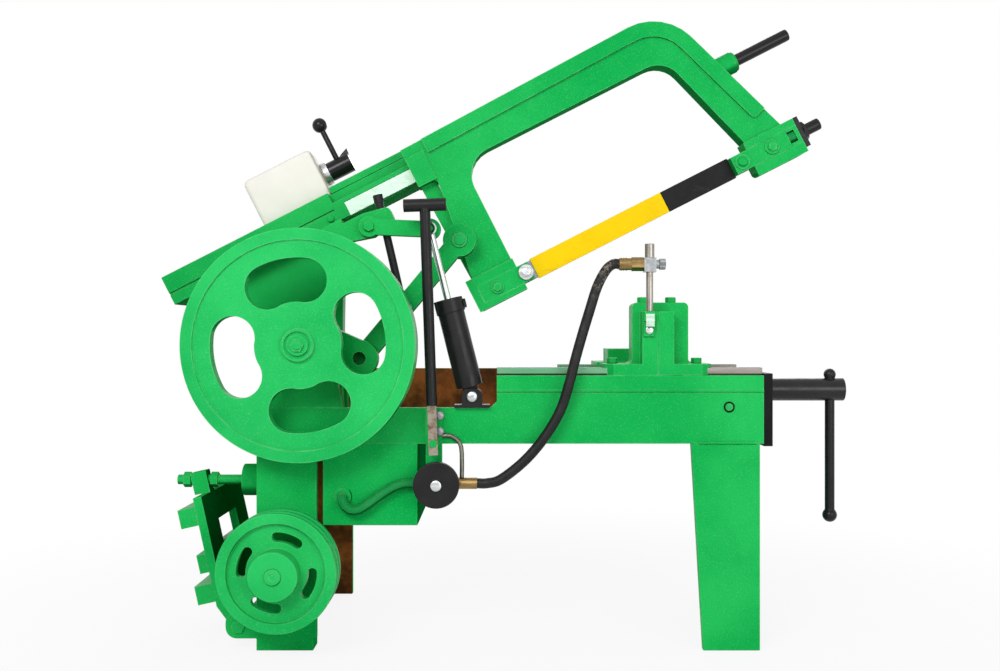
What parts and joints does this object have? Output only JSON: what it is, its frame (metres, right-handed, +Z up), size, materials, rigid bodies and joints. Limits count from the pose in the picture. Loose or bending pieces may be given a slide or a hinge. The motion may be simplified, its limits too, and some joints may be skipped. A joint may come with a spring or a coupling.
{
  "type": "power_hacksaw",
  "caption": "Green power hacksaw with a sliding C-shaped bow on a tilting beam, crank flywheel, lift cylinder, vise and coolant pump",
  "frame": {"origin": "middle of the footprint on the floor, under the middle of the bounding box", "axes": "+X along the blade away from the flywheel, +Y from the flywheel side to the back, +Z up"},
  "size_m": [1.1459, 0.5, 1.0163],
  "materials": {
    "green_paint": "gloss",
    "black_paint": "satin",
    "bright_steel": "ground",
    "worn_steel": "satin",
    "dark_steel": "satin",
    "blade_steel": "satin",
    "chrome": "polished",
    "brass": "satin",
    "aluminium": "satin",
    "pump_iron": "rough",
    "hose_rubber": "matt",
    "yellow_sleeve": "matt",
    "black_plastic": "gloss",
    "cream_plastic": "satin"
  },
  "bodies": {
    "frame": {"bed": "green_paint", "ways": "bright_steel", "right_leg": "green_paint", "left_leg": "green_paint", "motor_hinge_pin": "dark_steel", "main_bearing": "green_paint", "arm_pedestal": "green_paint", "arm_pivot_pin": "worn_steel", "cylinder_bracket": "black_paint", "pump_bracket": "green_paint", "pump_body": "pump_iron", "pump_fittings": "brass", "coolant_hose": "hose_rubber", "suction_pipe": "green_paint", "bypass_pipe": "worn_steel", "coolant_tank": "green_paint", "fixed_jaw": "green_paint", "fixed_jaw_bolts": "green_paint", "vise_end_plates": "black_paint", "post_clip": "green_paint", "coolant_post": "bright_steel", "coolant_tee": "worn_steel", "hose_fitting": "brass"},
    "flywheel": {"flywheel": "green_paint", "crankshaft": "green_paint"},
    "pulley": {"countershaft": "dark_steel", "drive_pulley": "green_paint"},
    "arm": {"saw_arm": "green_paint", "guide_beam": "green_paint", "guide_strip": "bright_steel", "switch_box": "cream_plastic", "switch_boss": "aluminium", "lift_bracket": "green_paint", "trip_rod": "black_paint", "lift_arm": "green_paint"},
    "switch": {"switch_lever": "black_plastic"},
    "bow": {"bow_frame": "green_paint", "wrist_pin": "green_paint", "slide_keeper": "green_paint", "rear_blade_clamp": "green_paint", "tension_plate": "black_paint", "bow_handle": "black_plastic"},
    "blade": {"blade_slide": "green_paint", "blade": "blade_steel", "blade_sleeve": "yellow_sleeve", "blade_sleeve_end": "black_plastic"},
    "tension_screw": {"tension_screw": "black_paint"},
    "connecting_rod": {"connecting_rod": "green_paint", "crank_pin": "worn_steel"},
    "cylinder": {"lift_cylinder": "black_paint"},
    "piston": {"piston_rod": "chrome"},
    "lever": {"control_lever": "black_paint"},
    "pump_wheel": {"pump_wheel": "black_paint"},
    "movable_jaw": {"movable_jaw": "green_paint", "movable_jaw_bolts": "green_paint"},
    "vise_screw": {"vise_screw": "black_paint"},
    "tommy_bar": {"tommy_bar": "black_paint"},
    "motor_plate": {"motor_plate": "green_paint", "clamp_bars": "green_paint", "belt_tie": "green_paint"}
  },
  "joints": [
    {"name": "flywheel_spin", "type": "hinge", "parent": "frame", "child": "flywheel", "pos_m": [-0.314, -0.18, 0.483], "axis": [0, 1, 0], "continuous": true},
    {"name": "pulley_spin", "type": "hinge", "parent": "frame", "child": "pulley", "pos_m": [-0.343, -0.2, 0.14], "axis": [0, 1, 0], "continuous": true},
    {"name": "arm_tilt", "type": "hinge", "parent": "frame", "child": "arm", "pos_m": [-0.314, 0.015, 0.483], "axis": [0, -1, 0], "range_deg": [-22.5, 8]},
    {"name": "switch_turn", "type": "hinge", "parent": "arm", "child": "switch", "pos_m": [-0.28613, 0.057, 0.79462], "axis": [0.891, 0, 0.454], "range_deg": [-40, 40]},
    {"name": "bow_slide", "type": "slide", "parent": "arm", "child": "bow", "axis": [0.891, 0, 0.454], "range_m": [-0.133, 0.039]},
    {"name": "tension_slide", "type": "slide", "parent": "bow", "child": "blade", "axis": [0.891, 0, 0.454], "range_m": [-0.006, 0]},
    {"name": "tension_turn", "type": "hinge", "parent": "bow", "child": "tension_screw", "pos_m": [0.51197, -0.05315, 0.84437], "axis": [0.891, 0, 0.454], "range_deg": [-1445, 5]},
    {"name": "rod_swing", "type": "hinge", "parent": "bow", "child": "connecting_rod", "pos_m": [-0.072, -0.079, 0.65344], "axis": [0, 1, 0], "range_deg": [-4, 11]},
    {"name": "cylinder_tilt", "type": "hinge", "parent": "frame", "child": "cylinder", "pos_m": [-0.05, -0.134, 0.402], "axis": [0, -1, 0], "range_deg": [-11, 4]},
    {"name": "piston_extend", "type": "slide", "parent": "cylinder", "child": "piston", "axis": [-0.2457, 0, 0.9693], "range_m": [-0.0958, 0.0345]},
    {"name": "lever_swing", "type": "hinge", "parent": "frame", "child": "lever", "pos_m": [-0.11, -0.168, 0.33], "axis": [0, 1, 0], "range_deg": [0, 14]},
    {"name": "pump_spin", "type": "hinge", "parent": "frame", "child": "pump_wheel", "pos_m": [-0.105, -0.17, 0.266], "axis": [0, 1, 0], "continuous": true},
    {"name": "jaw_slide", "type": "slide", "parent": "frame", "child": "movable_jaw", "axis": [1, 0, 0], "range_m": [0, 0.075]},
    {"name": "screw_turn", "type": "hinge", "parent": "frame", "child": "vise_screw", "pos_m": [0.5, -0.02, 0.407], "axis": [1, 0, 0], "range_deg": [-5, 4505]},
    {"name": "tommy_slide", "type": "slide", "parent": "vise_screw", "child": "tommy_bar", "axis": [0, 0, 1], "range_m": [0, 0.16]},
    {"name": "motor_tilt", "type": "hinge", "parent": "frame", "child": "motor_plate", "pos_m": [-0.42, 0, 0.038], "axis": [0, 1, 0], "range_deg": [-2.5, 2.5]}
  ],
  "couplings": [
    {"joint": "rod_swing", "follows": "bow_slide", "rad_per_m": -1.19},
    {"joint": "tension_turn", "follows": "tension_slide", "rad_per_m": 4188.8},
    {"joint": "cylinder_tilt", "follows": "arm_tilt", "ratio": 0.467},
    {"joint": "piston_extend", "follows": "arm_tilt", "m_per_rad": 0.2435},
    {"joint": "screw_turn", "follows": "jaw_slide", "rad_per_m": 1047.2}
  ]
}
